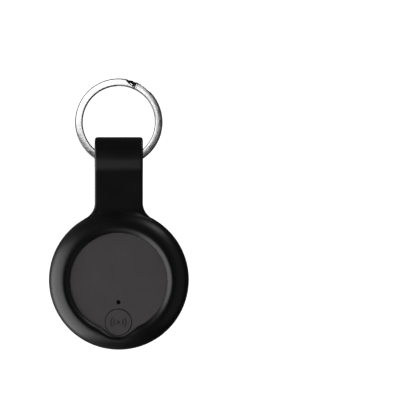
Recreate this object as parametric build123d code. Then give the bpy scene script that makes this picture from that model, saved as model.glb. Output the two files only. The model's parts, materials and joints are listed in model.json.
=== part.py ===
from build123d import *
import os
from math import atan2, cos, hypot, pi, radians, sin, sqrt, tan

# Bluetooth tracker tag: a round tracker in a moulded silicone holder that hangs from a split ring.
# Millimetres. X to the right, Y from the front face to the back, Z up. The origin is where a hook or
# a key carries the ring: the top of the ring's hole, midway between its two turns.

# ---- Split ring ----
ring_outer_diameter = 25.0
ring_wire_width = 2.2  # across the wire, along the ring's radius
ring_turn_thickness = 1.0  # of each of the two turns, along Y
ring_turn_gap = 0.06  # hairline between the turns
ring_wire_edge = 0.3
ring_joggle_start = 10.0  # degrees clockwise from the top, where the front turn leaves for the back
ring_joggle_sweep = 14.0
ring_end_gap = 1.5  # degrees between each cut end and the joggle

# ---- Strap, from its top down to the bowl ----
strap_width = 13.7
strap_length = 20.8
strap_edge = 0.85
neck_thickness = 4.8
neck_flare_radius = 5.0  # where the neck widens into the bowl
eye_clearance = 0.25  # round the whole swing of the wire
eye_top_wall = 3.0
eye_side_wall = 1.85
eye_taper_length = 4.6
eye_taper_bend = 3.0

# ---- Holder's bowl ----
holder_side_wall = 2.95
bowl_belly = 0.8  # straight stretch between the front and the back curve
lip_cover = 3.5  # how far the lip reaches in over the tracker's edge
lip_height = 1.2  # above the tracker's face
lip_land = 0.4  # square part of the lip's inner edge
lip_flare = 1.4
lip_crest = 0.4
lobe_margin = 0.65  # round the button
lobe_flare = 0.7
holder_back_wall = 1.2
holder_back_round = 3.4
holder_window_margin = 0.48  # round the bayonet's groove
holder_fit = 0.05

# ---- Tracker's housing ----
tracker_radius = 17.0
shell_wall = 1.2
shell_edge = 1.0
shell_split = 5.2  # depth of the seam behind the face
well_seat = 0.05  # between the board and the rear shell's well

# ---- Stack inside the tracker, front to back ----
board_room = 1.95
board_thickness = 0.8
contact_room = 0.5
cell_thickness = 3.2
cell_to_cover = 0.15
cover_thickness = 1.2

# ---- Button and pinhole ----
button_radius = 3.75
button_inset = 5.0  # from the tracker's lower edge to the button's centre
button_gap = 0.12
button_proud = 0.1
button_edge = 0.2
button_flange = 0.5  # wider than the cap
button_flange_thickness = 0.35
button_flange_play = 0.05
button_travel = 0.3
icon_depth = 0.15
icon_line = 0.32
icon_dot_radius = 0.45
icon_wave_pitch = 0.85
icon_wave_half_angle = 38.0
pinhole_radius = 0.6
pinhole_rise = 5.7  # above the button's centre
hole_edge = 0.1
light_pipe_recess = 0.2
light_pipe_fit = 0.05
light_pipe_flange_radius = 1.0
light_pipe_flange_thickness = 0.4

# ---- Circuit board ----
board_fit = 1.6  # between the board and the shell's wall
post_radius = 0.9
post_pin_radius = 0.45
post_inset = 1.6  # from the board's edge
post_head_radius = 0.8
post_head_height = 0.3
post_hole_fit = 0.05
chip_size = 6.0
chip_height = 0.85
chip_x = -6.2
chip_drop = 0.5
crystal_height = 0.7
crystal_width = 3.2
crystal_depth = 2.5
watch_crystal_depth = 1.5
antenna_length = 6.5
antenna_width = 2.0
antenna_height = 1.0
antenna_inset = 1.9  # from the board's edge
inductor_size = 3.0
inductor_height = 1.2
inductor_x = 6.6
inductor_drop = 4.4
chip_part_length = 1.0
chip_part_width = 0.5
chip_part_height = 0.5
chip_part_pitch = 1.1
led_length = 1.6
led_width = 0.8
led_height = 0.6

# ---- Tactile switch ----
switch_width = 4.0
switch_depth = 3.0
switch_height = 1.2
switch_plate = 0.2
switch_floor = 0.15
switch_cavity_radius = 1.3
plunger_radius = 0.7
plunger_collar_radius = 1.1
plunger_collar_height = 0.15
plunger_fit = 0.05
plunger_play = 0.02
dome_radius = 1.15
dome_sheet = 0.05
dome_play = 0.05

# ---- Sounder ----
buzzer_wall_gap = 2.8  # up to the shell's inner wall
buzzer_pipe_gap = 1.3  # down to the light pipe's flange
buzzer_tape_width = 1.2
buzzer_tape_thickness = 0.1
buzzer_plate_thickness = 0.2
buzzer_ceramic_inset = 2.0
buzzer_ceramic_thickness = 0.2
spring_sheet = 0.12
spring_width = 1.2
spring_reach = 2.4
spring_gap = 0.02
positive_width = 4.0
positive_height = 1.6
clip_room = 0.8
negative_width = 3.0

# ---- Coin cell ----
cell_radius = 10.0
cell_gasket_width = 0.95
cell_cap_depth = 2.2
cell_crimp = 0.8
cell_sheet = 0.25
anode_thickness = 0.6
separator_thickness = 0.1

# ---- Battery well, cover and seal ----
well_fit = 0.3
skirt_wall = 1.1
skirt_depth = 0.8
cover_fit = 0.12
lug_reach = 0.9
lug_thickness = 0.75
lug_half_angle = 10.0
lug_count = 3
lug_play = 0.1
cover_twist = 30.0
cover_edge = 0.25
notch_margin = 1.5  # degrees each side of a lug
ledge_thickness = 0.65
well_wall = 1.1
seal_height = 0.8
seal_width = 0.8
seal_gap = 0.05
coin_slot_length = 12.0
coin_slot_width = 1.8
coin_slot_depth = 0.6
coin_slot_edge = 0.15
mark_radius = 0.3
mark_depth = 0.12

# ---- Places worked out from the sizes above ----
ring_outer_radius = ring_outer_diameter / 2
ring_inner_radius = ring_outer_radius - ring_wire_width
ring_middle_radius = (ring_outer_radius + ring_inner_radius) / 2
ring_half_depth = ring_turn_thickness + ring_turn_gap / 2
ring_turn_y = (ring_turn_thickness + ring_turn_gap) / 2
ring_z = -ring_inner_radius

strap_half = strap_width / 2
wire_high_z = ring_z - sqrt(ring_inner_radius**2 - strap_half**2)
wire_low_z = ring_z - ring_outer_radius
swing_z = (wire_high_z + wire_low_z) / 2
eye_radius = hypot((wire_high_z - wire_low_z) / 2, ring_half_depth) + eye_clearance
strap_top_z = swing_z + eye_radius + eye_top_wall
eye_half_depth = eye_radius + eye_side_wall

bowl_radius = tracker_radius + holder_fit + holder_side_wall
body_z = strap_top_z - strap_length - bowl_radius
front_stack = shell_wall + board_room + board_thickness
back_stack = contact_room + cell_thickness + cell_to_cover + cover_thickness
face_y = -(front_stack + back_stack) / 2
wall_y = face_y + shell_wall
board_y = wall_y + board_room
board_back_y = board_y + board_thickness
cell_y = board_back_y + contact_room
cell_back_y = cell_y + cell_thickness
cover_y = cell_back_y + cell_to_cover
back_y = cover_y + cover_thickness
seam_y = face_y + shell_split

bowl_front_y = face_y - lip_height
bowl_back_y = back_y + holder_back_wall
shell_inner_radius = tracker_radius - shell_wall
lip_opening_radius = tracker_radius - lip_cover
lobe_radius = button_radius + lobe_margin
board_radius = shell_inner_radius - board_fit
post_circle = board_radius - post_inset
antenna_x = board_radius - antenna_inset - antenna_width / 2
cell_cap_radius = cell_radius - cell_sheet - cell_gasket_width

button_z = button_inset - tracker_radius
pinhole_z = button_z + pinhole_rise
buzzer_top_z = shell_inner_radius - buzzer_wall_gap
buzzer_low_z = pinhole_z + light_pipe_flange_radius + buzzer_pipe_gap
buzzer_z = (buzzer_top_z + buzzer_low_z) / 2
buzzer_radius = (buzzer_top_z - buzzer_low_z) / 2
buzzer_ceramic_radius = buzzer_radius - buzzer_ceramic_inset
button_flange_y = wall_y + button_flange_play
button_flange_back_y = button_flange_y + button_flange_thickness
plunger_y = button_flange_back_y + plunger_play
switch_y = board_y - switch_height
switch_floor_y = board_y - switch_floor
collar_y = switch_y + switch_plate + plunger_play
collar_back_y = collar_y + plunger_collar_height
dome_y = collar_back_y + button_travel + dome_play
buzzer_plate_y = wall_y + buzzer_tape_thickness
buzzer_ceramic_y = buzzer_plate_y + buzzer_plate_thickness
buzzer_back_y = buzzer_ceramic_y + buzzer_ceramic_thickness

well_radius = cell_radius + well_fit
skirt_radius = well_radius + skirt_wall
cover_radius = skirt_radius
cover_hole_radius = cover_radius + cover_fit
lug_radius = cover_radius + lug_reach
groove_radius = lug_radius + cover_fit
ledge_y = back_y - ledge_thickness
lug_back_y = ledge_y - lug_play
lug_y = lug_back_y - lug_thickness
groove_y = lug_y - lug_play
skirt_y = cover_y - skirt_depth
seal_y = skirt_y - seal_height
seat_y = seal_y - seal_gap
well_outer_radius = groove_radius + well_wall
holder_window_radius = groove_radius + holder_window_margin


# ---- Shapes in the tracker's own place: Y as above, X and Z from the tracker's centre ----
def barrel(radius, front_y, rear_y, x=0.0, z=0.0):
    """A cylinder along Y."""
    return Pos(x, (front_y + rear_y) / 2, z) * Rot(90, 0, 0) * Cylinder(radius, rear_y - front_y)


def tube(outer, inner, front_y, rear_y, x=0.0, z=0.0):
    """A ring-shaped wall along Y."""
    return barrel(outer, front_y, rear_y, x, z) - barrel(inner, front_y, rear_y, x, z)


def block(width, height, front_y, rear_y, x=0.0, z=0.0):
    """A box: its width along X, its height along Z."""
    return Pos(x, (front_y + rear_y) / 2, z) * Box(width, rear_y - front_y, height)


def turned(points):
    """A solid of revolution about Y from corners given as (radius, y)."""
    return revolve(make_face(Polyline(*points, close=True)), axis=Axis.Y)


def sector(inner, outer, front_y, rear_y, middle, half_angle):
    """A piece of a ring, round Y: angles in degrees anticlockwise from +X, seen from the front."""
    first = middle - half_angle
    corners = [(0, 0)]
    for step in range(5):
        angle = radians(first + half_angle * step / 2)
        corners.append((outer * 1.5 * cos(angle), outer * 1.5 * sin(angle)))
    wedge = extrude(Plane.XZ * make_face(Polyline(*corners, close=True)), (rear_y - front_y) / 2, both=True)
    return tube(outer, inner, front_y, rear_y) & (Pos(0, (front_y + rear_y) / 2, 0) * wedge)


def rounded_outline(corners):
    """A closed outline from (x, y, radius) corners, each rounded by its own radius."""
    edges = []
    count = len(corners)
    ends = []
    for i, (x, y, radius) in enumerate(corners):
        before = Vector(*corners[i - 1][:2])
        after = Vector(*corners[(i + 1) % count][:2])
        here = Vector(x, y)
        to_before = (before - here).normalized()
        to_after = (after - here).normalized()
        half_turn = radians(to_before.get_angle(to_after)) / 2
        back = radius / tan(half_turn)
        middle = (to_before + to_after).normalized() * (radius / sin(half_turn) - radius)
        ends.append((here + to_before * back, here + middle, here + to_after * back))
    for i, (start, middle, end) in enumerate(ends):
        if corners[i][2] > 0:
            edges.append(Edge.make_three_point_arc(start, middle, end))
        edges.append(Edge.make_line(end, ends[(i + 1) % count][0]))
    return make_face(edges)


def in_place(shape):
    """Moves a shape from the tracker's centre to its place under the ring."""
    return Pos(0, 0, body_z) * shape


# ---- Split ring ----
def wire_section(angle, y):
    """The wire's section, at an angle clockwise from the top of the ring."""
    turn = radians(angle)
    outward = (sin(turn), 0, cos(turn))
    centre = (ring_middle_radius * sin(turn), y, ring_z + ring_middle_radius * cos(turn))
    plane = Plane(origin=centre, x_dir=outward, z_dir=(cos(turn), 0, -sin(turn)))
    return plane * RectangleRounded(ring_wire_width, ring_turn_thickness, ring_wire_edge)


def make_key_ring():
    axis = Axis((0, 0, ring_z), (0, 1, 0))
    joggle_end = ring_joggle_start + ring_joggle_sweep
    sweep = 360 - ring_joggle_sweep - ring_end_gap
    front = revolve(wire_section(joggle_end + ring_end_gap, -ring_turn_y), axis, sweep)
    rear = revolve(wire_section(joggle_end, ring_turn_y), axis, sweep)
    sections = []
    steps = 6
    for step in range(steps + 1):
        share = step / steps
        y = -ring_turn_y * cos(pi * share)
        sections.append(wire_section(ring_joggle_start + ring_joggle_sweep * share, y))
    return front + loft(sections) + rear


# ---- Holder ----
def make_eye():
    """The strap's looped top, as a side outline pulled along X."""
    taper_start = swing_z
    taper_end = swing_z - eye_taper_length
    neck_half = neck_thickness / 2
    top_round = eye_half_depth * 0.98
    low_z = taper_end - 2 * eye_taper_bend
    side = [
        (eye_half_depth, strap_top_z, top_round),
        (eye_half_depth, taper_start, eye_taper_bend),
        (neck_half, taper_end, eye_taper_bend),
        (neck_half, low_z, 0),
        (-neck_half, low_z, 0),
        (-neck_half, taper_end, eye_taper_bend),
        (-eye_half_depth, taper_start, eye_taper_bend),
        (-eye_half_depth, strap_top_z, top_round),
    ]
    return extrude(Plane.YZ * rounded_outline(side), amount=strap_half, both=True)


def make_neck():
    """The flat stretch below the eye, flaring into the bowl's circle."""
    flare_x = strap_half + neck_flare_radius
    reach = bowl_radius + neck_flare_radius
    flare_z = sqrt(reach**2 - flare_x**2)
    share = bowl_radius / reach
    foot = (flare_x * share, body_z + flare_z * share)
    turn = atan2(flare_z, flare_x) / 2
    bend = (flare_x - neck_flare_radius * cos(turn), body_z + flare_z - neck_flare_radius * sin(turn))
    high_z = swing_z - eye_taper_length
    shoulder = (strap_half, body_z + flare_z)
    inside = (foot[0] * 0.7, body_z + flare_z * share * 0.7)
    edges = [
        Edge.make_line((-strap_half, high_z), (strap_half, high_z)),
        Edge.make_line((strap_half, high_z), shoulder),
        Edge.make_three_point_arc(shoulder, bend, foot),
        Edge.make_line(foot, inside),
        Edge.make_line(inside, (-inside[0], inside[1])),
        Edge.make_line((-inside[0], inside[1]), (-foot[0], foot[1])),
        Edge.make_three_point_arc((-foot[0], foot[1]), (-bend[0], bend[1]), (-strap_half, shoulder[1])),
        Edge.make_line((-strap_half, shoulder[1]), (-strap_half, high_z)),
    ]
    return extrude(Plane.XZ * make_face(edges), amount=neck_thickness / 2, both=True)


def make_strap():
    strap = make_eye() + make_neck()
    foot_z = body_z + bowl_radius * 0.8
    long_edges = []
    for edge in strap.edges():
        along_x = abs((edge @ 1).X - (edge @ 0).X)
        if edge.center().Z > foot_z and along_x < strap_half:
            long_edges.append(edge)
    strap = fillet(long_edges, strap_edge)
    return strap - Pos(0, 0, swing_z) * Rot(0, 90, 0) * Cylinder(eye_radius, strap_width * 2)


def make_bowl():
    """The round part before its openings are cut, as an outline of (radius, y)."""
    half_belly = bowl_belly / 2
    crest = lip_opening_radius + lip_flare + lip_crest
    front_rise = -bowl_front_y - half_belly
    back_rise = bowl_back_y - half_belly
    back_flat = bowl_radius - holder_back_round
    outline = [
        Edge.make_line((0, bowl_front_y), (crest, bowl_front_y)),
        EllipticalCenterArc((crest, -half_belly), bowl_radius - crest, front_rise, 270, arc_size=90).edge(),
        Edge.make_line((bowl_radius, -half_belly), (bowl_radius, half_belly)),
        EllipticalCenterArc((back_flat, half_belly), holder_back_round, back_rise, 0, arc_size=90).edge(),
        Edge.make_line((back_flat, bowl_back_y), (0, bowl_back_y)),
        Edge.make_line((0, bowl_back_y), (0, bowl_front_y)),
    ]
    return revolve(make_face(outline), axis=Axis.Y)


def flared_opening(radius, flare):
    """A hole through the lip: a square land at the tracker's face, then a flare to the front."""
    land_y = face_y - lip_land
    slope = flare / (lip_height - lip_land)
    out_y = bowl_front_y - 1
    out_radius = radius + slope * (land_y - out_y)
    inside_y = wall_y
    points = [(0, inside_y), (radius, inside_y), (radius, land_y), (out_radius, out_y), (0, out_y)]
    return turned(points)


def tracker_block(extra):
    """The closed tracker's outer shape, larger all round by extra."""
    body = barrel(tracker_radius + extra, face_y - extra, back_y + extra)
    ends = body.edges().filter_by(GeomType.CIRCLE)
    return fillet(ends, shell_edge + extra)


def make_silicone_holder():
    holder = make_strap() + in_place(make_bowl())
    holder -= in_place(tracker_block(holder_fit))
    holder -= in_place(flared_opening(lip_opening_radius, lip_flare))
    holder -= in_place(Pos(0, 0, button_z) * flared_opening(lobe_radius, lobe_flare))
    holder -= in_place(barrel(holder_window_radius, cover_y, bowl_back_y + 1))
    return holder


# ---- Housing ----
def post_places():
    """The four places where the board is staked to the front shell."""
    for angle in (35, 145, 215, 325):
        yield post_circle * cos(radians(angle)), post_circle * sin(radians(angle))


def face_rims(shape, y, largest):
    """The edges that lie in the plane at y and reach no further than largest to either side."""
    rims = []
    for edge in shape.edges():
        box = edge.bounding_box()
        flat = abs(box.min.Y - y) < 0.001 and abs(box.max.Y - y) < 0.001
        if flat and box.max.X < largest and box.min.X > -largest:
            rims.append(edge)
    return rims


def make_front_shell():
    shell = tracker_block(0) & barrel(tracker_radius + 1, face_y - 1, seam_y)
    shell -= barrel(shell_inner_radius, wall_y, seam_y + 1)
    for x, z in post_places():
        shell += barrel(post_radius, wall_y, board_y, x, z)
        shell += barrel(post_pin_radius, board_y, board_back_y, x, z)
        shell += barrel(post_head_radius, board_back_y, board_back_y + post_head_height, x, z)
    shell -= barrel(button_radius + button_gap, face_y - 1, wall_y, z=button_z)
    shell -= barrel(pinhole_radius, face_y - 1, wall_y, z=pinhole_z)
    return fillet(face_rims(shell, face_y, button_radius + 2 * button_gap), hole_edge)


def lug_angle(place):
    """Where a lug of the cover lies when it is locked, anticlockwise from +X seen from the front."""
    return 90 + place * 360 / lug_count


def make_rear_shell():
    shell = tracker_block(0) & barrel(tracker_radius + 1, seam_y, back_y + 1)
    shell -= barrel(shell_inner_radius, seam_y, cover_y)
    shell += tube(well_outer_radius, well_radius, board_back_y + well_seat, cover_y)
    shell -= barrel(cover_hole_radius, seat_y, back_y + 1)
    shell -= barrel(groove_radius, groove_y, ledge_y)
    for place in range(lug_count):
        middle = lug_angle(place) - cover_twist
        half_angle = lug_half_angle + notch_margin
        shell -= sector(cover_radius, groove_radius, groove_y, back_y + 1, middle, half_angle)
    clip_x = cell_radius + spring_gap + spring_sheet / 2
    shell -= block(clip_room, positive_width + clip_room, board_back_y, clip_back_y() + clip_room / 2, clip_x)
    for x, z in post_places():
        head_back_y = board_back_y + post_head_height
        shell -= barrel(post_head_radius + post_hole_fit, board_back_y, head_back_y + post_hole_fit, x, z)
    mark_circle = (groove_radius + holder_window_radius) / 2
    for turn in (0, -cover_twist):
        angle = radians(90 + turn)
        x = mark_circle * cos(angle)
        shell -= barrel(mark_radius, back_y - mark_depth, back_y + 1, x, mark_circle * sin(angle))
    return shell


def make_battery_cover():
    cover = barrel(cover_radius, cover_y, back_y)
    cover = fillet(cover.edges().sort_by(Axis.Y)[-1], cover_edge)
    cover += tube(skirt_radius, well_radius, skirt_y, cover_y)
    for place in range(lug_count):
        cover += sector(well_radius, lug_radius, lug_y, lug_back_y, lug_angle(place), lug_half_angle)
    slot_plane = Plane(origin=(0, back_y - coin_slot_depth, 0), x_dir=(1, 0, 0), z_dir=(0, 1, 0))
    cover -= extrude(slot_plane * SlotOverall(coin_slot_length, coin_slot_width), coin_slot_depth + 1)
    cover = fillet(face_rims(cover, back_y, coin_slot_length / 2 + hole_edge), coin_slot_edge)
    mark_z = cover_radius - 2 * mark_radius - cover_edge
    cover -= barrel(mark_radius, back_y - mark_depth, back_y + 1, z=mark_z)
    return cover


def make_cover_seal():
    seal = tube(skirt_radius, skirt_radius - seal_width, seal_y, skirt_y)
    return fillet(seal.edges().filter_by(GeomType.CIRCLE), seal_height * 0.4)


# ---- Button ----
def make_button_cap():
    front_y = face_y - button_proud
    cap = barrel(button_radius, front_y, button_flange_y)
    cap = fillet(cap.edges().sort_by(Axis.Y)[0], button_edge)
    floor_y = front_y + icon_depth
    cap -= barrel(icon_dot_radius, front_y - 1, floor_y)
    for wave in (1, 2):
        middle = icon_dot_radius + wave * icon_wave_pitch
        for side in (0, 180):
            inner, outer = middle - icon_line / 2, middle + icon_line / 2
            cap -= sector(inner, outer, front_y - 1, floor_y, side, icon_wave_half_angle)
    cap = Pos(0, 0, button_z) * cap
    flange = barrel(button_radius + button_flange, button_flange_y, button_flange_back_y, z=button_z)
    flange &= barrel(shell_inner_radius - button_gap, button_flange_y, button_flange_back_y)
    return cap + flange


def make_light_pipe():
    radius = pinhole_radius - light_pipe_fit
    pipe = barrel(radius, face_y + light_pipe_recess, wall_y, z=pinhole_z)
    flange_back_y = wall_y + light_pipe_flange_thickness
    return pipe + barrel(light_pipe_flange_radius, wall_y, flange_back_y, z=pinhole_z)


# ---- Tactile switch ----
def make_switch_body():
    body = block(switch_width, switch_depth, switch_y, board_y, z=button_z)
    body -= barrel(switch_cavity_radius, switch_y + switch_plate, switch_floor_y, z=button_z)
    return body - barrel(plunger_radius + plunger_fit, switch_y - 1, switch_y + switch_plate, z=button_z)


def make_switch_plunger():
    plunger = barrel(plunger_radius, plunger_y, collar_back_y, z=button_z)
    return plunger + barrel(plunger_collar_radius, collar_y, collar_back_y, z=button_z)


def make_switch_dome():
    crown = dome_radius * 0.4
    back_y_of_crown = dome_y + dome_sheet
    corners = [
        (0, dome_y),
        (crown, dome_y),
        (dome_radius, switch_floor_y),
        (dome_radius - 2 * dome_sheet, switch_floor_y),
        (crown, back_y_of_crown),
        (0, back_y_of_crown),
    ]
    return Pos(0, 0, button_z) * turned(corners)


# ---- Circuit board and what is soldered to it ----
def make_circuit_board():
    board = barrel(board_radius, board_y, board_back_y)
    for x, z in post_places():
        board -= barrel(post_pin_radius + post_hole_fit, board_y - 1, board_back_y + 1, x, z)
    return board


def on_board(width, height, rise, x, z):
    """A box that stands on the board's front."""
    return block(width, height, board_y - rise, board_y, x, z)


def make_crystals():
    z = -chip_drop - chip_size / 2 - crystal_depth
    main = on_board(crystal_width, crystal_depth, crystal_height, chip_x, z)
    watch_x = chip_x + crystal_width / 2
    watch_z = z - crystal_depth / 2 - watch_crystal_depth
    return Compound([main, on_board(crystal_width, watch_crystal_depth, crystal_height, watch_x, watch_z)])


def make_capacitors():
    """A row above the radio chip and a column beside it."""
    parts = []
    edge = chip_size / 2 + chip_part_length
    for place in range(5):
        shift = (place - 2) * chip_part_pitch
        size = (chip_part_width, chip_part_length)
        parts.append(on_board(*size, chip_part_height, chip_x + shift, edge - chip_drop))
        parts.append(on_board(*reversed(size), chip_part_height, chip_x + edge, shift - chip_drop))
    return Compound(parts)


def make_resistors():
    """A row below the inductor and a column beside it."""
    parts = []
    edge = inductor_size / 2 + chip_part_length
    for place in range(3):
        shift = (place - 1) * chip_part_pitch
        size = (chip_part_width, chip_part_length)
        height = chip_part_height * 0.7
        parts.append(on_board(*size, height, inductor_x + shift, -inductor_drop - edge))
        parts.append(on_board(*reversed(size), height, inductor_x - edge, shift - inductor_drop))
    return Compound(parts)


# ---- Sounder ----
def bent_spring(foot_x, foot_y, tip_x, tip_y, width, z):
    """A sheet spring that slopes from a foot on the board to its tip."""
    to_tip = 1 if tip_y > foot_y else -1
    sheet = spring_sheet * to_tip
    along = 1 if tip_x > foot_x else -1
    flat = width * along / 2
    corners = [
        (foot_x - flat, foot_y),
        (foot_x, foot_y),
        (tip_x, tip_y - sheet),
        (tip_x + flat, tip_y - sheet),
        (tip_x + flat, tip_y),
        (tip_x, tip_y),
        (foot_x, foot_y + sheet),
        (foot_x - flat, foot_y + sheet),
    ]
    face = make_face(Polyline(*corners, close=True))
    return Pos(0, 0, z) * extrude(face, width / 2, both=True)


def make_buzzer_tape():
    inner = buzzer_radius - buzzer_tape_width
    return tube(buzzer_radius, inner, wall_y, buzzer_plate_y, z=buzzer_z)


def make_buzzer_contacts():
    ceramic_tip_y = buzzer_back_y + spring_gap
    plate_tip_y = buzzer_ceramic_y + spring_gap
    plate_x = (buzzer_radius + buzzer_ceramic_radius) / 2 - spring_width / 4
    high_z = buzzer_z + spring_reach
    to_ceramic = bent_spring(-spring_reach, board_y, 0, ceramic_tip_y, spring_width, high_z)
    to_plate = bent_spring(plate_x - spring_reach, board_y, plate_x, plate_tip_y, spring_width, buzzer_z)
    return Compound([to_ceramic, to_plate])


# ---- Battery and its contacts ----
def clip_back_y():
    """How far back the positive clip reaches along the cell's side."""
    return cell_y + positive_height


def make_positive_contact():
    inner_x = cell_radius + spring_gap
    foot = positive_width / 2
    middle_x = inner_x + spring_sheet - foot / 2
    contact = block(foot, positive_width, board_back_y, board_back_y + spring_sheet, middle_x)
    leg_x = inner_x + spring_sheet / 2
    return contact + block(spring_sheet, positive_width, board_back_y, clip_back_y(), leg_x)


def make_negative_contact():
    base = block(negative_width, negative_width, board_back_y, board_back_y + spring_sheet)
    tip_y = cell_y - spring_gap
    for side in (-1, 1):
        foot_x = side * negative_width / 2
        tip_x = foot_x + side * negative_width
        base += bent_spring(foot_x, board_back_y, tip_x, tip_y, negative_width / 2, 0)
    return base


def make_cell_can():
    crimp_y = cell_y + cell_sheet
    can = barrel(cell_radius, crimp_y, cell_back_y)
    can = fillet(can.edges().sort_by(Axis.Y)[-1], cell_sheet)
    can -= barrel(cell_radius - cell_sheet, crimp_y + cell_sheet, cell_back_y - cell_sheet)
    return can - barrel(cell_radius - cell_crimp, crimp_y - 1, cell_back_y - cell_sheet)


def make_cell_cap():
    cap = barrel(cell_cap_radius, cell_y, cell_y + cell_cap_depth)
    cap = fillet(cap.edges().sort_by(Axis.Y)[0], cell_sheet)
    return cap - barrel(cell_cap_radius - cell_sheet, cell_y + cell_sheet, cell_y + cell_cap_depth + 1)


def make_cell_gasket():
    outer = cell_radius - cell_sheet
    return tube(outer, cell_cap_radius, cell_y + 2 * cell_sheet, cell_back_y - cell_sheet)


electrode_radius = cell_cap_radius - 2 * cell_sheet
anode_y = cell_y + cell_sheet
cathode_y = anode_y + anode_thickness + separator_thickness

nodes = {
    "key_ring": make_key_ring(),
    "silicone_holder": make_silicone_holder(),
    "front_shell": in_place(make_front_shell()),
    "rear_shell": in_place(make_rear_shell()),
    "battery_cover": in_place(make_battery_cover()),
    "cover_seal": in_place(make_cover_seal()),
    "button_cap": in_place(make_button_cap()),
    "light_pipe": in_place(make_light_pipe()),
    "switch_body": in_place(make_switch_body()),
    "switch_plunger": in_place(make_switch_plunger()),
    "switch_dome": in_place(make_switch_dome()),
    "circuit_board": in_place(make_circuit_board()),
    "radio_chip": in_place(on_board(chip_size, chip_size, chip_height, chip_x, -chip_drop)),
    "chip_antenna": in_place(on_board(antenna_width, antenna_length, antenna_height, antenna_x, 0)),
    "drive_inductor": in_place(
        on_board(inductor_size, inductor_size, inductor_height, inductor_x, -inductor_drop)
    ),
    "crystals": in_place(make_crystals()),
    "capacitors": in_place(make_capacitors()),
    "resistors": in_place(make_resistors()),
    "indicator_led": in_place(on_board(led_length, led_width, led_height, 0, pinhole_z)),
    "buzzer_tape": in_place(make_buzzer_tape()),
    "buzzer_plate": in_place(barrel(buzzer_radius, buzzer_plate_y, buzzer_ceramic_y, z=buzzer_z)),
    "buzzer_ceramic": in_place(
        barrel(buzzer_ceramic_radius, buzzer_ceramic_y, buzzer_back_y, z=buzzer_z)
    ),
    "buzzer_contacts": in_place(make_buzzer_contacts()),
    "positive_contact": in_place(make_positive_contact()),
    "negative_contact": in_place(make_negative_contact()),
    "cell_can": in_place(make_cell_can()),
    "cell_cap": in_place(make_cell_cap()),
    "cell_gasket": in_place(make_cell_gasket()),
    "cell_anode": in_place(barrel(electrode_radius, anode_y, anode_y + anode_thickness)),
    "cell_cathode": in_place(barrel(electrode_radius, cathode_y, cell_back_y - cell_sheet)),
}

os.makedirs("parts", exist_ok=True)
for name, shape in nodes.items():
    export_step(shape, f"parts/{name}.step")
print("body centre z", body_z, "swing z", swing_z, "eye radius", eye_radius, "strap top", strap_top_z)
print("face y", face_y, "back y", back_y, "bowl", bowl_front_y, bowl_back_y)
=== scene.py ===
import json
import math

import bmesh
import bpy
import numpy as np
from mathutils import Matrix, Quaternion, Vector


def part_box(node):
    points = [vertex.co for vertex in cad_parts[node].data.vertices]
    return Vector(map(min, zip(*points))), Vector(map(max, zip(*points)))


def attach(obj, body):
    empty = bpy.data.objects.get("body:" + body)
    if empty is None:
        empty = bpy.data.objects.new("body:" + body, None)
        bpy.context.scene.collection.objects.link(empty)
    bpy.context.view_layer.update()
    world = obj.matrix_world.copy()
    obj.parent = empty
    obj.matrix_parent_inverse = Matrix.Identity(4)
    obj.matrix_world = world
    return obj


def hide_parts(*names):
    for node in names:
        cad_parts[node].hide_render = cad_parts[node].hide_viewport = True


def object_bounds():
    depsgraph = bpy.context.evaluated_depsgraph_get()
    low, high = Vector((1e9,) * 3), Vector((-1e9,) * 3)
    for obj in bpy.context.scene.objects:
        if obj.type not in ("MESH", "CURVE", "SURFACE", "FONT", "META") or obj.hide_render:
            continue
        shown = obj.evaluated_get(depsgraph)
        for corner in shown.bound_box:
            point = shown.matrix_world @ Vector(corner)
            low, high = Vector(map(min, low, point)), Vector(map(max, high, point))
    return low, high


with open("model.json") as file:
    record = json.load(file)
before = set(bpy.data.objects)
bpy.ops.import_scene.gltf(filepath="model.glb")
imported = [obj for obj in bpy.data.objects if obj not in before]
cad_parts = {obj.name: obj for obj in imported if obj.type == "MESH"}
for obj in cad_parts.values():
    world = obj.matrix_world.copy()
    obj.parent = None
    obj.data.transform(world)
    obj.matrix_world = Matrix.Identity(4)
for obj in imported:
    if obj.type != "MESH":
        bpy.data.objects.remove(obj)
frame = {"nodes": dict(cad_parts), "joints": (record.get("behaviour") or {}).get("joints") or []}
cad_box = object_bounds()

# Metres everywhere, except inside the implicit shapes, which are written in millimetres.
MM = 0.001

# ---- Places read from the frame ----
ring_low, ring_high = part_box("key_ring")
shell_low, shell_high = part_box("front_shell")
holder_low, holder_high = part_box("silicone_holder")
button_low, button_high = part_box("button_cap")
rear_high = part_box("rear_shell")[1]

RING_CENTRE = (ring_low + ring_high) / 2
RING_OUTER = (ring_high.x - ring_low.x) / 2
TAG_CENTRE = Vector((0, (holder_low.y + holder_high.y) / 2, (shell_low.z + shell_high.z) / 2))
FACE_Y = shell_low.y
SWING_Z = next(joint["pos_m"][2] for joint in frame["joints"] if joint["name"] == "tag_swing")


def add_object(name, data):
    made = bpy.data.objects.new(name, data)
    bpy.context.scene.collection.objects.link(made)
    return made


# ---------------------------------------------------------------------------------------------
# Camera and lights
# ---------------------------------------------------------------------------------------------
VIEW_WIDTH = 0.1184  # what the square picture takes in at the tag's face
CAMERA_DISTANCE = 1.0
CAMERA_RIGHT = 0.02548  # of the tag's centre
CAMERA_UP = 0.02051
SENSOR = 36.0  # millimetres, as the lens is

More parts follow.
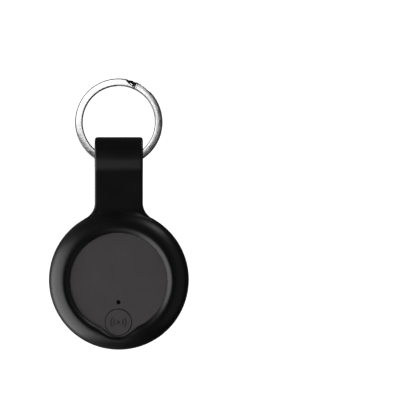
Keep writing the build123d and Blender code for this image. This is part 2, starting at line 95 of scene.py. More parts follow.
# Each lamp's direction from the tag, distance, width, height, radiance, and roll in degrees.
LAMPS = {
    "softbox_left": ((-0.92, -0.22, -0.28), 0.45, 0.74, 0.85, 4.3, 0),
    "softbox_right": ((0.55, -0.15, 0.80), 1.1, 0.62, 0.30, 3.8, 0),
    "panel_front": ((-0.133, -1.5, 0.1685), 1.515, 0.216, 0.205, 1.70, 8),
    "panel_side": ((-0.56, -0.76, -0.30), 1.3, 0.95, 0.55, 0.75, 0),
    "panel_low": ((-0.10, -0.50, -0.85), 0.9, 0.25, 0.20, 1.9, 0),
    "panel_back": ((0.10, 1.25, 0.15), 1.26, 0.26, 0.26, 1.3, 0),
    "fill_right": ((0.90, -0.34, -0.05), 0.8, 0.90, 1.4, 0.26, 0),
}
NOT_FOR_RING = ("softbox_left", "fill_right")
ONLY_FOR_RING = ("panel_front", "panel_side")


def make_camera():
    data = bpy.data.cameras.new("camera")
    data.sensor_width = SENSOR
    data.lens = SENSOR * CAMERA_DISTANCE / VIEW_WIDTH
    data.clip_start, data.clip_end = 0.01, 20
    camera = add_object("camera", data)
    camera.location = (CAMERA_RIGHT, FACE_Y - CAMERA_DISTANCE, TAG_CENTRE.z + CAMERA_UP)
    camera.rotation_euler = (math.radians(90), 0, 0)
    bpy.context.scene.camera = camera


def area_light(name, direction, distance, width, height, radiance, roll):
    """A softbox seen from the tag in that direction, with that radiance over its face."""
    data = bpy.data.lights.new(name, "AREA")
    data.shape = "RECTANGLE"
    data.size, data.size_y = width, height
    data.energy = radiance * math.pi * width * height
    light = add_object(name, data)
    towards = Vector(direction).normalized()
    light.location = TAG_CENTRE + towards * distance
    turned = (-towards).to_track_quat("-Z", "Y") @ Quaternion((0, 0, 1), math.radians(roll))
    light.rotation_euler = turned.to_euler()
    return light


def share_lamps(lights, name, ring, state):
    """Lets lights reach all but the ring, where state is EXCLUDE, or the ring alone, where it is INCLUDE."""
    receivers = bpy.data.collections.new(name)
    receivers.objects.link(ring)
    receivers.collection_objects[0].light_linking.link_state = state
    for light in lights:
        light.light_linking.receiver_collection = receivers


def make_lights(ring):
    """Soft studio light for the tag, with what the polished ring mirrors kept apart from it."""
    lights = {name: area_light(name, *lamp) for name, lamp in LAMPS.items()}
    share_lamps([lights[name] for name in NOT_FOR_RING], "all_but_the_ring", ring, "EXCLUDE")
    share_lamps([lights[name] for name in ONLY_FOR_RING], "ring_alone", ring, "INCLUDE")


# ---------------------------------------------------------------------------------------------
# Shader nodes
# ---------------------------------------------------------------------------------------------
def node(tree, kind, **inputs):
    """A shader node with some of its inputs set or linked; an underscore stands for a space."""
    made = tree.nodes.new(kind)
    for name, value in inputs.items():
        socket = made.inputs[name.replace("_", " ")]
        if isinstance(value, bpy.types.NodeSocket):
            tree.links.new(value, socket)
        else:
            socket.default_value = value
    return made


def maths(tree, operation, first, second=None, clamp=False):
    """The result of one operation on numbers or sockets."""
    made = tree.nodes.new("ShaderNodeMath")
    made.operation = operation
    made.use_clamp = clamp
    for i, value in enumerate((first, second)):
        if isinstance(value, bpy.types.NodeSocket):
            tree.links.new(value, made.inputs[i])
        elif value is not None:
            made.inputs[i].default_value = value
    return made.outputs[0]


def ramp(tree, value, start, end, low, high, kind="SMOOTHSTEP"):
    """Goes from low to high as the value goes from start to end."""
    span = {"From_Min": start, "From_Max": end, "To_Min": low, "To_Max": high}
    made = node(tree, "ShaderNodeMapRange", Value=value, **span)
    made.interpolation_type = kind
    return made.outputs[0]


def coordinates(tree, kind="Object"):
    """X, Y and Z of a point in the object, or of a ray's direction where the world asks for Generated."""
    place = tree.nodes.new("ShaderNodeTexCoord").outputs[kind]
    return node(tree, "ShaderNodeSeparateXYZ", Vector=place).outputs


def mirrored_rays(tree, path):
    """1 for rays that metal, gloss or clear plastic has turned, and 0 for the rest."""
    return maths(tree, "ADD", path["Is Glossy Ray"], path["Is Transmission Ray"], clamp=True)


def new_material(name, colour, roughness, metallic=0.0, specular=0.5):
    """A plain material, its node tree and its shader, for a finish to build on."""
    material = bpy.data.materials.new(name)
    material.use_nodes = True
    shader = material.node_tree.nodes["Principled BSDF"]
    shader.inputs["Base Color"].default_value = (*colour, 1)
    shader.inputs["Roughness"].default_value = roughness
    shader.inputs["Metallic"].default_value = metallic
    shader.inputs["Specular IOR Level"].default_value = specular
    return material, material.node_tree, shader


# ---------------------------------------------------------------------------------------------
# World and backdrop
# ---------------------------------------------------------------------------------------------
ROOM_LIGHT = 0.15  # the world's strength as light
MIRRORED_FRONT = 0.05  # its strength where it is mirrored, towards the camera's side
MIRRORED_BACK = 0.15
MIRRORED_RIGHT = 0.12  # share of that strength which is left at the right
FRONT_TO_BACK = (-0.10, 0.35)  # where the change lies, along a ray's direction
MIDDLE_TO_RIGHT = (0.05, 0.45)

FLOOR_DROP = 1.1  # below the tag
STAGE_HALF_WIDTH = 3.0
STAGE_BACK = 1.4
STAGE_BEND = 0.75
STAGE_TOP = 2.2
BEND_STEPS = 16
PAPER = 0.86  # both the paper's grey and its glow: with the lamps on it they come out white
# Painted reflection: only in glossy rays is the paper painted nearly black, darker to the right, in place of
# dark studio flags.
PAINTED_REFLECTION_DARK = (0.02, 0.02, 0.02, 1)
REFLECTION_DARK_LEFT = 0.89  # share of that painted dark in the paper as glossy pieces mirror it
REFLECTION_DARK_RIGHT = 0.98
LEFT_TO_RIGHT = (-0.12, 0.10)  # where that share changes


def make_world():
    """White to the camera and grey as light. Mirrored, it is a dark room that is darkest at the right."""
    world = bpy.data.worlds.new("studio")
    bpy.context.scene.world = world
    world.use_nodes = True
    tree = world.node_tree
    tree.nodes.clear()
    path = tree.nodes.new("ShaderNodeLightPath").outputs
    towards = coordinates(tree, "Generated")
    behind = ramp(tree, towards["Y"], *FRONT_TO_BACK, MIRRORED_FRONT, MIRRORED_BACK)
    shade = ramp(tree, towards["X"], *MIDDLE_TO_RIGHT, 1.0, MIRRORED_RIGHT)
    mirrored = mirrored_rays(tree, path)
    room = maths(tree, "MULTIPLY", mirrored, maths(tree, "MULTIPLY", behind, shade))
    plain = maths(tree, "MULTIPLY", maths(tree, "SUBTRACT", 1.0, mirrored), ROOM_LIGHT)
    strength = maths(tree, "MAXIMUM", maths(tree, "ADD", room, plain), path["Is Camera Ray"])
    background = node(tree, "ShaderNodeBackground", Strength=strength)
    node(tree, "ShaderNodeOutputWorld", Surface=background.outputs[0])


def stage_outline():
    """The floor and the backdrop from the side, as (y, z) points, with a round bend between them."""
    floor_z = cad_box[0].z - FLOOR_DROP
    bend_y = STAGE_BACK - STAGE_BEND
    outline = [(-STAGE_HALF_WIDTH, floor_z), (bend_y, floor_z)]
    for step in range(1, BEND_STEPS):
        turn = math.pi / 2 * step / BEND_STEPS
        outline.append((bend_y + STAGE_BEND * math.sin(turn), floor_z + STAGE_BEND * (1 - math.cos(turn))))
    return outline + [(STAGE_BACK, floor_z + STAGE_BEND), (STAGE_BACK, STAGE_TOP)]


def paper_material():
    """White paper for the camera. Glossy pieces see a painted reflection of it: nearly black, and more so at
    the right.
    """
    material, tree, shader = new_material("backdrop_paper", (PAPER, PAPER, PAPER), 0.9, specular=0.1)
    shader.inputs["Emission Color"].default_value = (1, 1, 1, 1)
    path = tree.nodes.new("ShaderNodeLightPath").outputs
    seen = maths(tree, "MAXIMUM", mirrored_rays(tree, path), path["Is Camera Ray"])
    tree.links.new(maths(tree, "MULTIPLY", seen, PAPER), shader.inputs["Emission Strength"])
    shade = ramp(tree, coordinates(tree)["X"], *LEFT_TO_RIGHT, REFLECTION_DARK_LEFT, REFLECTION_DARK_RIGHT)
    dark = node(tree, "ShaderNodeBsdfDiffuse", Color=PAINTED_REFLECTION_DARK)
    # Painted reflection: glossy rays see this dark diffuse instead of the white paper.
    mix = node(tree, "ShaderNodeMixShader", Fac=maths(tree, "MULTIPLY", path["Is Glossy Ray"], shade))
    tree.links.new(shader.outputs[0], mix.inputs[1])
    tree.links.new(dark.outputs[0], mix.inputs[2])
    tree.links.new(mix.outputs[0], tree.nodes["Material Output"].inputs["Surface"])
    return material


def make_stage():
    """A pale floor below the hanging tag that sweeps up into a backdrop behind it."""
    outline = stage_outline()
    verts = [(x, y, z) for y, z in outline for x in (-STAGE_HALF_WIDTH, STAGE_HALF_WIDTH)]
    faces = [(2 * i, 2 * i + 1, 2 * i + 3, 2 * i + 2) for i in range(len(outline) - 1)]
    mesh = bpy.data.meshes.new("backdrop")
    mesh.from_pydata(verts, [], faces)
    mesh.polygons.foreach_set("use_smooth", [True] * len(faces))
    mesh.materials.append(paper_material())
    backdrop = add_object("backdrop", mesh)


# ---------------------------------------------------------------------------------------------
# Materials: scales are in repeats per metre, reliefs in metres
# ---------------------------------------------------------------------------------------------
NOISE_LOW = 0.3  # most noise lies between these two
NOISE_HIGH = 0.7
ROUGHNESS_DRIFT = 0.06
COLOUR_DRIFT = 0.04  # as a share of the colour

PARTING_Y = TAG_CENTRE.y + 0.9 * MM  # of the holder's mould
SEAM_INNER = 0.03 * MM
SEAM_OUTER = 0.13 * MM

HOUSING = (0.049, 0.045, 0.047)
# Colour below a plastic face: engraved marks, and painted shade on the rounded rims of the button and the
# holes.
MARK_AND_SHADE_COLOUR = (0.034, 0.033, 0.033)
# Painted shade: the walls of deep gaps round the button and in the holes are painted near black, as if in
# shadow.
PAINTED_GAP_SHADE = (0.006, 0.006, 0.006)
MARK_AND_SHADE_DEPTHS = (0.01 * MM, 0.05 * MM)  # where the colour of engraved marks, and the painted shade on rounded rims, starts and is full, below the face
GAP_SHADE_DEPTHS = (0.16 * MM, 0.24 * MM)


def noise(tree, scale, detail=2.0, roughness=0.5, stretch=None):
    """Noise in the object's own place."""
    place = tree.nodes.new("ShaderNodeTexCoord").outputs["Object"]
    if stretch:
        place = node(tree, "ShaderNodeMapping", Vector=place, Scale=stretch).outputs[0]
    made = node(tree, "ShaderNodeTexNoise", Vector=place, Scale=scale, Detail=detail, Roughness=roughness)
    return made.outputs["Fac"]


def roughen(tree, shader, cloud, low, high):
    """Roughness that drifts with the noise."""
    drift = ramp(tree, cloud, NOISE_LOW, NOISE_HIGH, low, high, "LINEAR")
    tree.links.new(drift, shader.inputs["Roughness"])


def tint(tree, shader, cloud, dark, light):
    """Colour that drifts with the noise between two shades."""
    made = node(tree, "ShaderNodeValToRGB", Fac=cloud)
    shades = ((NOISE_LOW, dark), (NOISE_HIGH, light))
    for element, (position, shade) in zip(made.color_ramp.elements, shades):
        element.position = position
        element.color = (*shade, 1)
    tree.links.new(made.outputs[0], shader.inputs["Base Color"])


def blend_in(tree, shader, share, colour):
    """Takes the colour over into another one where share is 1."""
    mix = tree.nodes.new("ShaderNodeMix")
    mix.data_type = "RGBA"
    tree.links.new(share, mix.inputs["Factor"])
    tree.links.new(shader.inputs["Base Color"].links[0].from_socket, mix.inputs["A"])
    mix.inputs["B"].default_value = (*colour, 1)
    tree.links.new(mix.outputs["Result"], shader.inputs["Base Color"])


def bump(tree, shader, height, relief):
    """Relief on top of what the surface already has."""
    made = node(tree, "ShaderNodeBump", Height=height, Distance=relief)
    below = shader.inputs["Normal"].links
    if below:
        tree.links.new(below[0].from_socket, made.inputs["Normal"])
    tree.links.new(made.outputs[0], shader.inputs["Normal"])


def silicone_material():
    """Black silicone with a fine grain and the parting line of its mould."""
    material, tree, shader = new_material("black_silicone", (0.003, 0.003, 0.0032), 0.36, specular=0.30)
    cloud = noise(tree, 160, detail=3)
    tint(tree, shader, cloud, (0.0026, 0.0026, 0.0028), (0.0034, 0.0034, 0.0036))
    roughen(tree, shader, cloud, 0.34, 0.39)
    bump(tree, shader, noise(tree, 9000, detail=3, roughness=0.6), 0.000004)
    away = maths(tree, "ABSOLUTE", maths(tree, "SUBTRACT", coordinates(tree)["Y"], PARTING_Y))
    bump(tree, shader, ramp(tree, away, SEAM_INNER, SEAM_OUTER, 1.0, 0.0), 0.00006)
    return material


def paint_marks_and_shade(tree, shader, front_y):
    """Darkens and dulls what lies below the front: engraved marks and painted shade on rounded rims, and a
    darker painted shade on the walls of each deep gap.
    """
    y = coordinates(tree)["Y"]
    # This span colours engraved marks and also paints shade onto the rounded rims below the face.
    marks = [front_y + depth for depth in MARK_AND_SHADE_DEPTHS]
    gap_shade_span = [front_y + depth for depth in GAP_SHADE_DEPTHS]
    blend_in(tree, shader, ramp(tree, y, *marks, 0.0, 1.0), MARK_AND_SHADE_COLOUR)
    blend_in(tree, shader, ramp(tree, y, *gap_shade_span, 0.0, 1.0), PAINTED_GAP_SHADE)
    tree.links.new(ramp(tree, y, *marks, 0.3, 0.05), shader.inputs["Specular IOR Level"])


def plastic_material(name, colour, front_y=None):
    """Spark-eroded ABS: an even colour under a fine dry grain, with engraved marks and painted shade below
    the front where front_y is given.
    """
    material, tree, shader = new_material(name, colour, 0.55, specular=0.3)
    dark, light = ([c * (1 + drift) for c in colour] for drift in (-COLOUR_DRIFT, COLOUR_DRIFT))
    tint(tree, shader, noise(tree, 220), dark, light)
    if front_y is not None:
        paint_marks_and_shade(tree, shader, front_y)
    roughen(tree, shader, noise(tree, 900), 0.50, 0.60)
    bump(tree, shader, noise(tree, 7000, roughness=0.7), 0.000006)
    return material


def chrome_material():
    """Bright plating with faint polishing marks along the wire."""
    material, tree, shader = new_material("plated_ring", (0.88, 0.88, 0.89), 0.08, metallic=1.0)
    cloud = noise(tree, 500, detail=3)
    roughen(tree, shader, cloud, 0.06, 0.11)
    tint(tree, shader, cloud, (0.86, 0.86, 0.87), (0.92, 0.92, 0.93))
    bump(tree, shader, noise(tree, 1500, stretch=(1, 6, 1)), 0.000001)
    return material


def metal_material(name, colour, roughness):
    """Rolled or plated metal with a brushed relief."""
    material, tree, shader = new_material(name, colour, roughness, metallic=1.0)
    cloud = noise(tree, 1200, detail=3)
    roughen(tree, shader, cloud, roughness - ROUGHNESS_DRIFT, roughness + ROUGHNESS_DRIFT)
    bump(tree, shader, noise(tree, 3000, stretch=(8, 1, 1)), 0.000002)
    return material


def dotted(tree, scale, size):
    """1 inside a nearly regular grid of dots and 0 outside them."""
    place = tree.nodes.new("ShaderNodeTexCoord").outputs["Object"]
    cells = node(tree, "ShaderNodeTexVoronoi", Vector=place, Scale=scale, Randomness=0.15)
    return ramp(tree, cells.outputs["Distance"], size, size * 1.2, 1.0, 0.0)


def board_material():
    """Green solder mask over a glass weave, with plated vias."""
    material, tree, shader = new_material("circuit_board", (0.010, 0.070, 0.035), 0.35)
    tint(tree, shader, noise(tree, 300, detail=3), (0.008, 0.060, 0.030), (0.012, 0.080, 0.040))
    vias = dotted(tree, 420, 0.12)
    blend_in(tree, shader, vias, (0.75, 0.55, 0.25))
    tree.links.new(vias, shader.inputs["Metallic"])
    bump(tree, shader, noise(tree, 2500, stretch=(1, 1, 4)), 0.000006)
    return material


def matt_material(name, dark, light, roughness, scale=900):
    """A dull surface whose colour and grain drift: moulding resin, ceramic, rubber, powder, foam."""
    material, tree, shader = new_material(name, dark, roughness, specular=0.4)
    cloud = noise(tree, scale, detail=3)
    tint(tree, shader, cloud, dark, light)
    roughen(tree, shader, cloud, roughness - ROUGHNESS_DRIFT, roughness + ROUGHNESS_DRIFT)
    bump(tree, shader, noise(tree, scale * 4, detail=3), 0.000005)
    return material


def smoked_material(name, colour, roughness):
    """Smoked clear plastic with faint flow marks."""
    material, tree, shader = new_material(name, colour, roughness, specular=0.1)
    shader.inputs["Transmission Weight"].default_value = 0.5
    flow = noise(tree, 700, stretch=(1, 4, 1))
    tint(tree, shader, flow, colour, [c * 1.2 for c in colour])
    bump(tree, shader, flow, 0.000003)
    return material


# ---------------------------------------------------------------------------------------------
# Implicit shapes: each is a function of points in millimetres, below 0 inside
# ---------------------------------------------------------------------------------------------
SETTLE_ROUNDS = 4
SLOPE_REACH = 0.02  # to each side of the point where a slope is taken
LEAST_STEEPNESS = 0.05
LEAST_LENGTH = 1e-9


def round_box(a, b, radius):
    """The corner where two outsides a and b meet, rounded."""
    a, b = a + radius, b + radius
    return np.minimum(np.maximum(a, b), 0) + np.hypot(np.maximum(a, 0), np.maximum(b, 0)) - radius


def join(a, b, radius):
    """Both shapes, with a fillet in the crease between them."""
    u, v = np.maximum(radius - a, 0), np.maximum(radius - b, 0)
    return np.maximum(radius, np.minimum(a, b)) - np.hypot(u, v)


def cut(a, b, radius):
    """The first shape without the second, with rounded rims."""
    return -join(-a, b, radius)


def settle(points, field, step):
    """Pulls points onto the surface along its gradient."""
    for _ in range(SETTLE_ROUNDS):
        slope = np.stack([
            field(points + offset) - field(points - offset) for offset in np.eye(3) * SLOPE_REACH
        ], 1) / (2 * SLOPE_REACH)
        steep = np.maximum((slope ** 2).sum(1), LEAST_STEEPNESS)
        move = slope * (field(points) / steep)[:, None]
        length = np.linalg.norm(move, axis=1, keepdims=True)
        points = points - move * np.minimum(1, step / np.maximum(length, LEAST_LENGTH))
    return points


def part_of(axes, ends):
    """An index that keeps what lies between those ends on those axes, and the whole of the other axes."""
    index = [slice(None)] * 3
    for axis, (first, last) in zip(axes, ends):
        index[axis] = slice(first, last)
    return tuple(index)


def edge_faces(index, axis, crossed, starts_inside):
    """One face round each crossed grid edge along that axis, turned outwards."""
    one, two = (axis + 1) % 3, (axis + 2) % 3
    where = np.argwhere(crossed[part_of([one, two], [(1, -1), (1, -1)])])
    where[:, [one, two]] += 1
    corners = []
    for i, j in ((1, 1), (0, 1), (0, 0), (1, 0)):
        cell = where.copy()
        cell[:, one] -= i
        cell[:, two] -= j
        corners.append(index[tuple(cell.T)])
    quads = np.stack(corners, 1)
    inward = ~starts_inside[tuple(where.T)]
    quads[inward] = quads[inward][:, ::-1]
    return quads


def surface_net(field, low, high, step):
    """The surface where field is 0: a point for each grid cell that it crosses, and four-sided faces."""
    axes = [np.arange(low[i], high[i] + step, step) for i in range(3)]
    grid = np.stack(np.meshgrid(*axes, indexing="ij"), -1)
    value = np.stack([field(layer.reshape(-1, 3)).reshape(layer.shape[:-1]) for layer in grid])
    cells = tuple(n - 1 for n in value.shape)
    total = np.zeros(cells + (3,))
    count = np.zeros(cells)
    crossings = []
    for axis in range(3):
        head, tail = part_of([axis], [(0, -1)]), part_of([axis], [(1, None)])
        a, b = value[head], value[tail]
        crossed = (a < 0) != (b < 0)
        share = np.where(crossed, a / np.where(crossed, a - b, 1), 0)
        point = grid[head].copy()
        point[..., axis] += share * step
        crossings.append((crossed, a < 0))
        across = [i for i in range(3) if i != axis]
        for i, j in ((0, 0), (0, 1), (1, 0), (1, 1)):
            pick = part_of(across, [(i, i + cells[across[0]]), (j, j + cells[across[1]])])
            total += point[pick] * crossed[pick][..., None]
            count += crossed[pick]
    active = count > 0
    index = np.full(cells, -1)
    index[active] = np.arange(active.sum())
    points = settle(total[active] / count[active][:, None], field, step)
    faces = [edge_faces(index, axis, *crossing) for axis, crossing in enumerate(crossings)]
    return points, np.concatenate(faces)


def mesh_piece(name, points, faces):
    """A smooth piece of faces that all have the same number of corners."""
    mesh = bpy.data.meshes.new(name)
    mesh.vertices.add(len(points))
    mesh.vertices.foreach_set("co", np.asarray(points, np.float32).ravel())
    mesh.loops.add(faces.size)
    mesh.loops.foreach_set("vertex_index", faces.ravel().astype(np.int32))
    mesh.polygons.add(len(faces))
    mesh.polygons.foreach_set("loop_start", np.arange(0, faces.size, faces.shape[1], dtype=np.int32))
    mesh.polygons.foreach_set("use_smooth", [True] * len(faces))
    mesh.update(calc_edges=True)
    mesh.validate()
    return add_object(name, mesh)


# ---------------------------------------------------------------------------------------------
# Silicone holder, in millimetres
# ---------------------------------------------------------------------------------------------
BODY_Z = TAG_CENTRE.z / MM  # of the bowl's centre
EYE_Z = SWING_Z / MM
FACE = FACE_Y / MM  # the tracker's front, and below it the tracker's back
BACK = rear_high.y / MM
STRAP_TOP = holder_high.z / MM

FACET_LOSS = 0.01  # what the mesh's flat faces take off a round side
BOWL_RADIUS = (holder_high.x - holder_low.x) / 2 / MM + FACET_LOSS
BOWL_HALF_DEPTH = (holder_high.y - holder_low.y) / 2 / MM
FRONT_ROUND = 5.5
BACK_ROUND = 3.6

STRAP_HALF = 6.85  # half of its width
STRAP_EDGE = 0.45
STRAP_EDGE_SCALE = 0.95  # brings the distance to the flaring sides close to a true one
STRAP_CORNER = 0.8  # of the strap's outline at its top
STRAP_FOOT = 0.3  # height of the strap's end above the bowl's centre, as a share of the bowl's radius
NECK_HALF_DEPTH = 2.6
NECK_FLARE = 5.0
NECK_FLARE_SHARE = 0.92  # of the flare's quarter circle
NECK_CREASE = 1.2  # fillet between the neck and the bowl
CREASE_LOSS = 0.93  # share of that fillet which is gone at the strap's sides, to keep the outline smooth
CREASE_FADE_START = 5.0  # to the side of the strap's middle
CREASE_FADE_WIDTH = 3.5
EYE_RADIUS = 2.86
EYE_OUTSIDE = 4.71  # radius of the strap's round outside over the eye
EYE_TAPER = 1.3  # fillet between the eye's round outside and the neck
EYE_RIM = 0.3

LIP_RADIUS = 13.75
LIP_DROP = 0.45  # of the opening's centre below the bowl's
LIP_LAND = 0.05  # height of the straight wall at the face
LIP_FLARE = 1.25  # widening for each mm of height above that
LIP_WALL_SHARE = 0.6  # of the flare that counts in the wall's distance, and so in the crest's rounding
LIP_CUT = 1.0  # how far behind the face the opening is cut
CREST_ROUND = 0.55  # of the lip's crest
LOBE_DROP = BODY_Z - (button_low.z + button_high.z) / 2 / MM
LOBE_RADIUS = 4.4
LOBE_FLARE = 0.9
LOBE_CREASE = 1.2

POCKET_SIDE_GAP = 0.06
POCKET_FACE_GAP = 0.05
POCKET_RADIUS = (shell_high.x - shell_low.x) / 2 / MM + POCKET_SIDE_GAP
POCKET_ROUND = 1.05
POCKET_RIM = 0.06
WINDOW_RADIUS = 12.9
WINDOW_CUT = 1.5  # how far in front of the tracker's back the window is cut
WINDOW_RIM = 0.35

GRID = 0.3
GRID_MARGIN = 1.0


def bowl(r, y):
    """The round bowl, whose front edge is rounded more than its back edge."""
    corner = np.where(y < 0, FRONT_ROUND, BACK_ROUND)
    return round_box(r - BOWL_RADIUS, np.abs(y) - BOWL_HALF_DEPTH, corner)


def strap(x, y, z):
    """The neck, and the eye's round outside on top of it, as a side outline pulled along X."""
    head = np.hypot(y, z - (STRAP_TOP - EYE_OUTSIDE)) - EYE_OUTSIDE
    neck = np.maximum(np.abs(y) - NECK_HALF_DEPTH, z - EYE_Z)
    side = np.maximum(join(head, neck, EYE_TAPER), BODY_Z + BOWL_RADIUS * STRAP_FOOT - z)
    flare_z = BODY_Z + math.sqrt((BOWL_RADIUS + NECK_FLARE) ** 2 - (STRAP_HALF + NECK_FLARE) ** 2)
    drop = np.clip(flare_z - z, 0, NECK_FLARE * NECK_FLARE_SHARE)
    half = STRAP_HALF + NECK_FLARE - np.sqrt(NECK_FLARE ** 2 - drop ** 2)
    plate = round_box(side, (np.abs(x) - half) * STRAP_EDGE_SCALE, STRAP_EDGE)
    return np.maximum(plate, round_box(z - STRAP_TOP, np.abs(x) - half, STRAP_CORNER))


def body(x, y, z, r):
    """The bowl and the strap, with a fillet between them that fades towards the strap's sides."""
    outwards = np.clip((np.abs(x) - CREASE_FADE_START) / CREASE_FADE_WIDTH, 0, 1)
    return join(bowl(r, y), strap(x, y, z), NECK_CREASE * (1 - CREASE_LOSS * outwards))


def flared(r, y, radius, flare):
    """A round opening in the lip: straight at the tracker's face, then wider to the front."""
    rise = np.maximum(FACE - LIP_LAND - y, 0)
    wall = (r - radius - flare * rise) / math.hypot(1, flare * LIP_WALL_SHARE)
    return np.maximum(wall, y - FACE - LIP_CUT)


def front_opening(x, y, z):
    """The opening round the tracker's face, with the lobe that leaves the button free."""
    opening = flared(np.hypot(x, z - BODY_Z + LIP_DROP), y, LIP_RADIUS, LIP_FLARE)
    lobe = flared(np.hypot(x, z - BODY_Z + LOBE_DROP), y, LOBE_RADIUS, LOBE_FLARE)
    return join(opening, lobe, LOBE_CREASE)


def pocket(r, y):
    """The room that the tracker fills."""
    depth = np.abs(y - (FACE + BACK) / 2) - (BACK - FACE) / 2 - POCKET_FACE_GAP
    return round_box(r - POCKET_RADIUS, depth, POCKET_ROUND)


def holder_field(points):
    """The holder: its body less the opening in front, the tracker's pocket, the back window and the eye."""
    x, y, z = points.T
    r = np.hypot(x, z - BODY_Z)
    window = np.maximum(r - WINDOW_RADIUS, BACK - WINDOW_CUT - y)
    eye = np.hypot(y, z - EYE_Z) - EYE_RADIUS
    shape = cut(body(x, y, z, r), front_opening(x, y, z), CREST_ROUND)
    shape = cut(shape, pocket(r, y), POCKET_RIM)
    shape = cut(shape, window, WINDOW_RIM)
    return cut(shape, eye, EYE_RIM)


def make_holder():
    """The holder's skin, one closed mesh in place of its solid."""
    low = [v / MM - GRID_MARGIN for v in holder_low]
    high = [v / MM + GRID_MARGIN for v in holder_high]
    points, faces = surface_net(holder_field, low, high, GRID)
    holder = mesh_piece("silicone_skin", points * MM, faces)
    holder.data.materials.append(silicone_material())
    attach(holder, "tag")
    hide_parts("silicone_holder")


# ---------------------------------------------------------------------------------------------
# Split ring, with angles in degrees, clockwise from its top as seen from the front
# ---------------------------------------------------------------------------------------------
WIRE_WIDTH = 2.2 * MM
TURN_THICKNESS = 1.0 * MM
TURN_Y = 0.53 * MM  # how far each turn's middle lies from the ring's
WIRE_EDGE = 0.25 * MM
WIRE_CROWN = 0.005 * MM
EDGE_STEPS = 6
FACE_STEPS = 5
FULL_TURN = 360
JOGGLE_START = 9.5
JOGGLE_SWEEP = 15.0
JOGGLE_SKEW = 14.0  # how much later the wire's inner side leaves than its outer edge
JOGGLE_INNER = 0.68  # where that inner side begins, as a share of the width
END_GAP = 2.0
END_BEVEL = 0.35
END_SCALE = 0.94  # of the wire's section at its very end
END_CLEARANCE = 1.0  # between the last plain section and the end
PLAIN_STEP = 1.5
JOGGLE_STEP = 0.5
STEP_SLACK = 0.2  # a section closer than this share of a step to the next stretch is left out


def wire_outline():
    """The wire's section as (outward, backward) offsets: crowned faces between rounded edges."""
    middle = WIRE_WIDTH / 2 - WIRE_EDGE
    slope = math.atan(2 * WIRE_CROWN / middle)
    half_face = middle + WIRE_EDGE * math.sin(slope)
    crown = WIRE_CROWN * (half_face / middle) ** 2
    level = TURN_THICKNESS / 2 - crown - WIRE_EDGE * math.cos(slope)
    quarter = []
    for step in range(EDGE_STEPS + 1):
        turn = (math.pi / 2 - slope) * step / EDGE_STEPS
        quarter.append((middle + WIRE_EDGE * math.cos(turn), level + WIRE_EDGE * math.sin(turn)))
    for step in range(1, FACE_STEPS + 1):
        out = half_face * (1 - step / FACE_STEPS)
        quarter.append((out, TURN_THICKNESS / 2 - WIRE_CROWN * (out / middle) ** 2))
    half = quarter + [(-out, back) for out, back in reversed(quarter[:-1])]
    return np.array(half + [(out, -back) for out, back in reversed(half)])


def section_angles():
    """Where the wire's sections stand along its two turns, close together in the joggle and at the ends."""
    start = JOGGLE_START + JOGGLE_SWEEP + END_GAP
    end = 2 * FULL_TURN + JOGGLE_START - END_GAP
    joggle = FULL_TURN + JOGGLE_START
    stretches = (
        (start + PLAIN_STEP, joggle, PLAIN_STEP),
        (joggle, FULL_TURN + start, JOGGLE_STEP),
        (FULL_TURN + start, end - END_CLEARANCE, PLAIN_STEP),
    )
    angles = [start, start + END_BEVEL]
    for low, high, step in stretches:
        angles += list(np.arange(low, high - STEP_SLACK * step, step))
    return angles + [end - END_BEVEL, end]


def joggle_share(angle, out):
    """How far the wire has moved from the front turn to the back one, from 0 to 1."""
    inwards = max(0.5 - out / WIRE_WIDTH, 0)
    late = JOGGLE_SKEW * min(inwards / JOGGLE_INNER, 1) ** 2
    phase = (angle - FULL_TURN - JOGGLE_START - late) / (JOGGLE_SWEEP - late)
    return min(max(phase, 0), 1)


def wire_section(outline, angle):
    """The outline's points at that angle."""
    turn = math.radians(angle)
    middle = RING_OUTER - WIRE_WIDTH / 2
    section = []
    for out, back in outline:
        y = back - TURN_Y * math.cos(math.pi * joggle_share(angle, out))
        radius = middle + out
        section.append((radius * math.sin(turn), y, RING_CENTRE.z + radius * math.cos(turn)))
    return section


def make_ring():
    """One wire swept through two turns, with a joggle between them and square ends."""
    outline = wire_outline()
    angles = section_angles()
    sections = [wire_section(outline, angle) for angle in angles]
    sections[0] = wire_section(outline * END_SCALE, angles[0])
    sections[-1] = wire_section(outline * END_SCALE, angles[-1])
    bm = bmesh.new()
    rows = [[bm.verts.new(point) for point in section] for section in sections]
    for row, following in zip(rows, rows[1:]):
        for i in range(len(outline)):
            j = (i + 1) % len(outline)
            bm.faces.new((row[i], row[j], following[j], following[i]))
    bm.faces.new(rows[0])
    bm.faces.new(rows[-1])
    bmesh.ops.recalc_face_normals(bm, faces=bm.faces)
    mesh = bpy.data.meshes.new("split_ring")
    bm.to_mesh(mesh)
    bm.free()
    for face in mesh.polygons:
        face.use_smooth = len(face.vertices) == 4
    mesh.materials.append(chrome_material())
    piece = add_object("split_ring", mesh)
    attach(piece, "ring")
    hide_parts("key_ring")
    return piece


# ---------------------------------------------------------------------------------------------
# Finishes of the solids that stay as they are
# ---------------------------------------------------------------------------------------------
def dress(node_name, material):
    """Gives a solid its finish as its only material."""
    mesh = frame["nodes"][node_name].data
    mesh.materials.clear()
    mesh.materials.append(material)


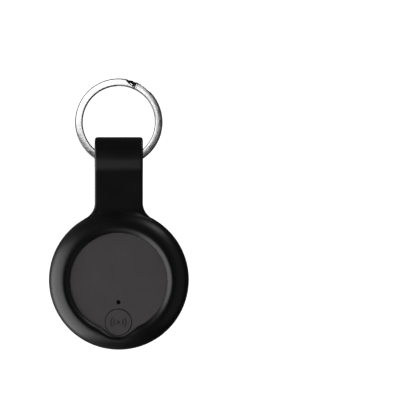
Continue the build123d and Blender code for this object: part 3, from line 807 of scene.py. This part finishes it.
def dress_solids():
    """Makes the finishes, some of which several solids share, and puts them on."""
    steel = metal_material("spring_steel", (0.60, 0.59, 0.57), 0.30)
    nickel = metal_material("nickel_plate", (0.66, 0.64, 0.60), 0.22)
    finishes = {
        "front_shell": plastic_material("face_plastic", HOUSING, front_y=shell_low.y),
        "rear_shell": plastic_material("back_plastic", HOUSING),
        "button_cap": plastic_material("button_plastic", HOUSING, front_y=button_low.y),
        "battery_cover": plastic_material("cover_plastic", (0.042, 0.041, 0.042)),
        "cover_seal": matt_material("seal_rubber", (0.010,) * 3, (0.016,) * 3, 0.7),
        "light_pipe": smoked_material("smoked_light_pipe", (0.003,) * 3, 0.25),
        "switch_body": matt_material("switch_nylon", (0.020, 0.020, 0.021), (0.028, 0.028, 0.029), 0.5),
        "switch_plunger": matt_material("plunger_resin", (0.50, 0.38, 0.22), (0.58, 0.44, 0.26), 0.4),
        "switch_dome": steel,
        "circuit_board": board_material(),
        "radio_chip": matt_material("chip_resin", (0.012, 0.012, 0.013), (0.020, 0.020, 0.021), 0.45),
        "chip_antenna": matt_material("antenna_ceramic", (0.62, 0.62, 0.58), (0.72, 0.72, 0.68), 0.5),
        "drive_inductor": matt_material("ferrite", (0.045, 0.043, 0.042), (0.065, 0.063, 0.060), 0.6),
        "crystals": nickel,
        "capacitors": matt_material("capacitor_ceramic", (0.40, 0.26, 0.14), (0.50, 0.33, 0.18), 0.4),
        "resistors": matt_material("resistor_glaze", (0.015, 0.015, 0.018), (0.030, 0.030, 0.034), 0.3),
        "indicator_led": matt_material("led_phosphor", (0.70, 0.62, 0.20), (0.80, 0.74, 0.30), 0.3),
        "buzzer_tape": matt_material("foam_tape", (0.030,) * 3, (0.050,) * 3, 0.85, 2500),
        "buzzer_plate": metal_material("brass", (0.72, 0.52, 0.22), 0.30),
        "buzzer_ceramic": metal_material("silvered_ceramic", (0.74, 0.73, 0.70), 0.50),
        "buzzer_contacts": steel,
        "positive_contact": nickel,
        "negative_contact": nickel,
        "cell_can": metal_material("cell_steel", (0.64, 0.63, 0.61), 0.25),
        "cell_cap": metal_material("cap_steel", (0.60, 0.59, 0.57), 0.35),
        "cell_gasket": matt_material("gasket_nylon", (0.55, 0.54, 0.50), (0.65, 0.64, 0.60), 0.45),
        "cell_anode": metal_material("lithium", (0.55, 0.55, 0.57), 0.60),
        "cell_cathode": matt_material("cathode_powder", (0.012,) * 3, (0.030,) * 3, 0.9, 3000),
    }
    for node_name, finish in finishes.items():
        dress(node_name, finish)


bpy.context.scene.view_settings.view_transform = "Standard"
make_camera()
make_world()
make_stage()
make_holder()
make_lights(make_ring())
dress_solids()
